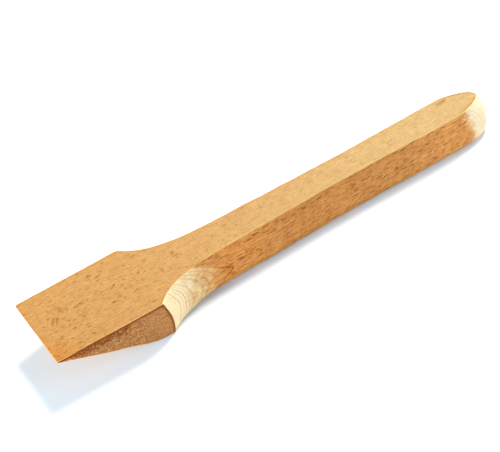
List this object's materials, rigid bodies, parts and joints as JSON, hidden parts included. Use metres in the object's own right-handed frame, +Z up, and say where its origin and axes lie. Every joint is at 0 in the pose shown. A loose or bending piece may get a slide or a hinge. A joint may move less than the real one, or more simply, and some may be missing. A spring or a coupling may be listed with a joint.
{
  "type": "clay modeling tool",
  "caption": "Solid beech clay tool: a wedge-shaped paddle blade with a straight edge runs through a coved neck into a slim waisted handle with a rounded nose.",
  "frame": {"origin": "middle of the tool's length and width, on its flat underside", "axes": "+X along the tool from the blade's edge to the handle's nose, +Y across it, +Z up through the flat upper face"},
  "size_m": [0.3, 0.0432, 0.0275],
  "materials": {
    "beech": "sanded and unvarnished, with rough-sawn sides on the blade and pale end grain at the coves and nose"
  },
  "bodies": {
    "root": {"beech_body": "beech"}
  },
  "joints": []
}
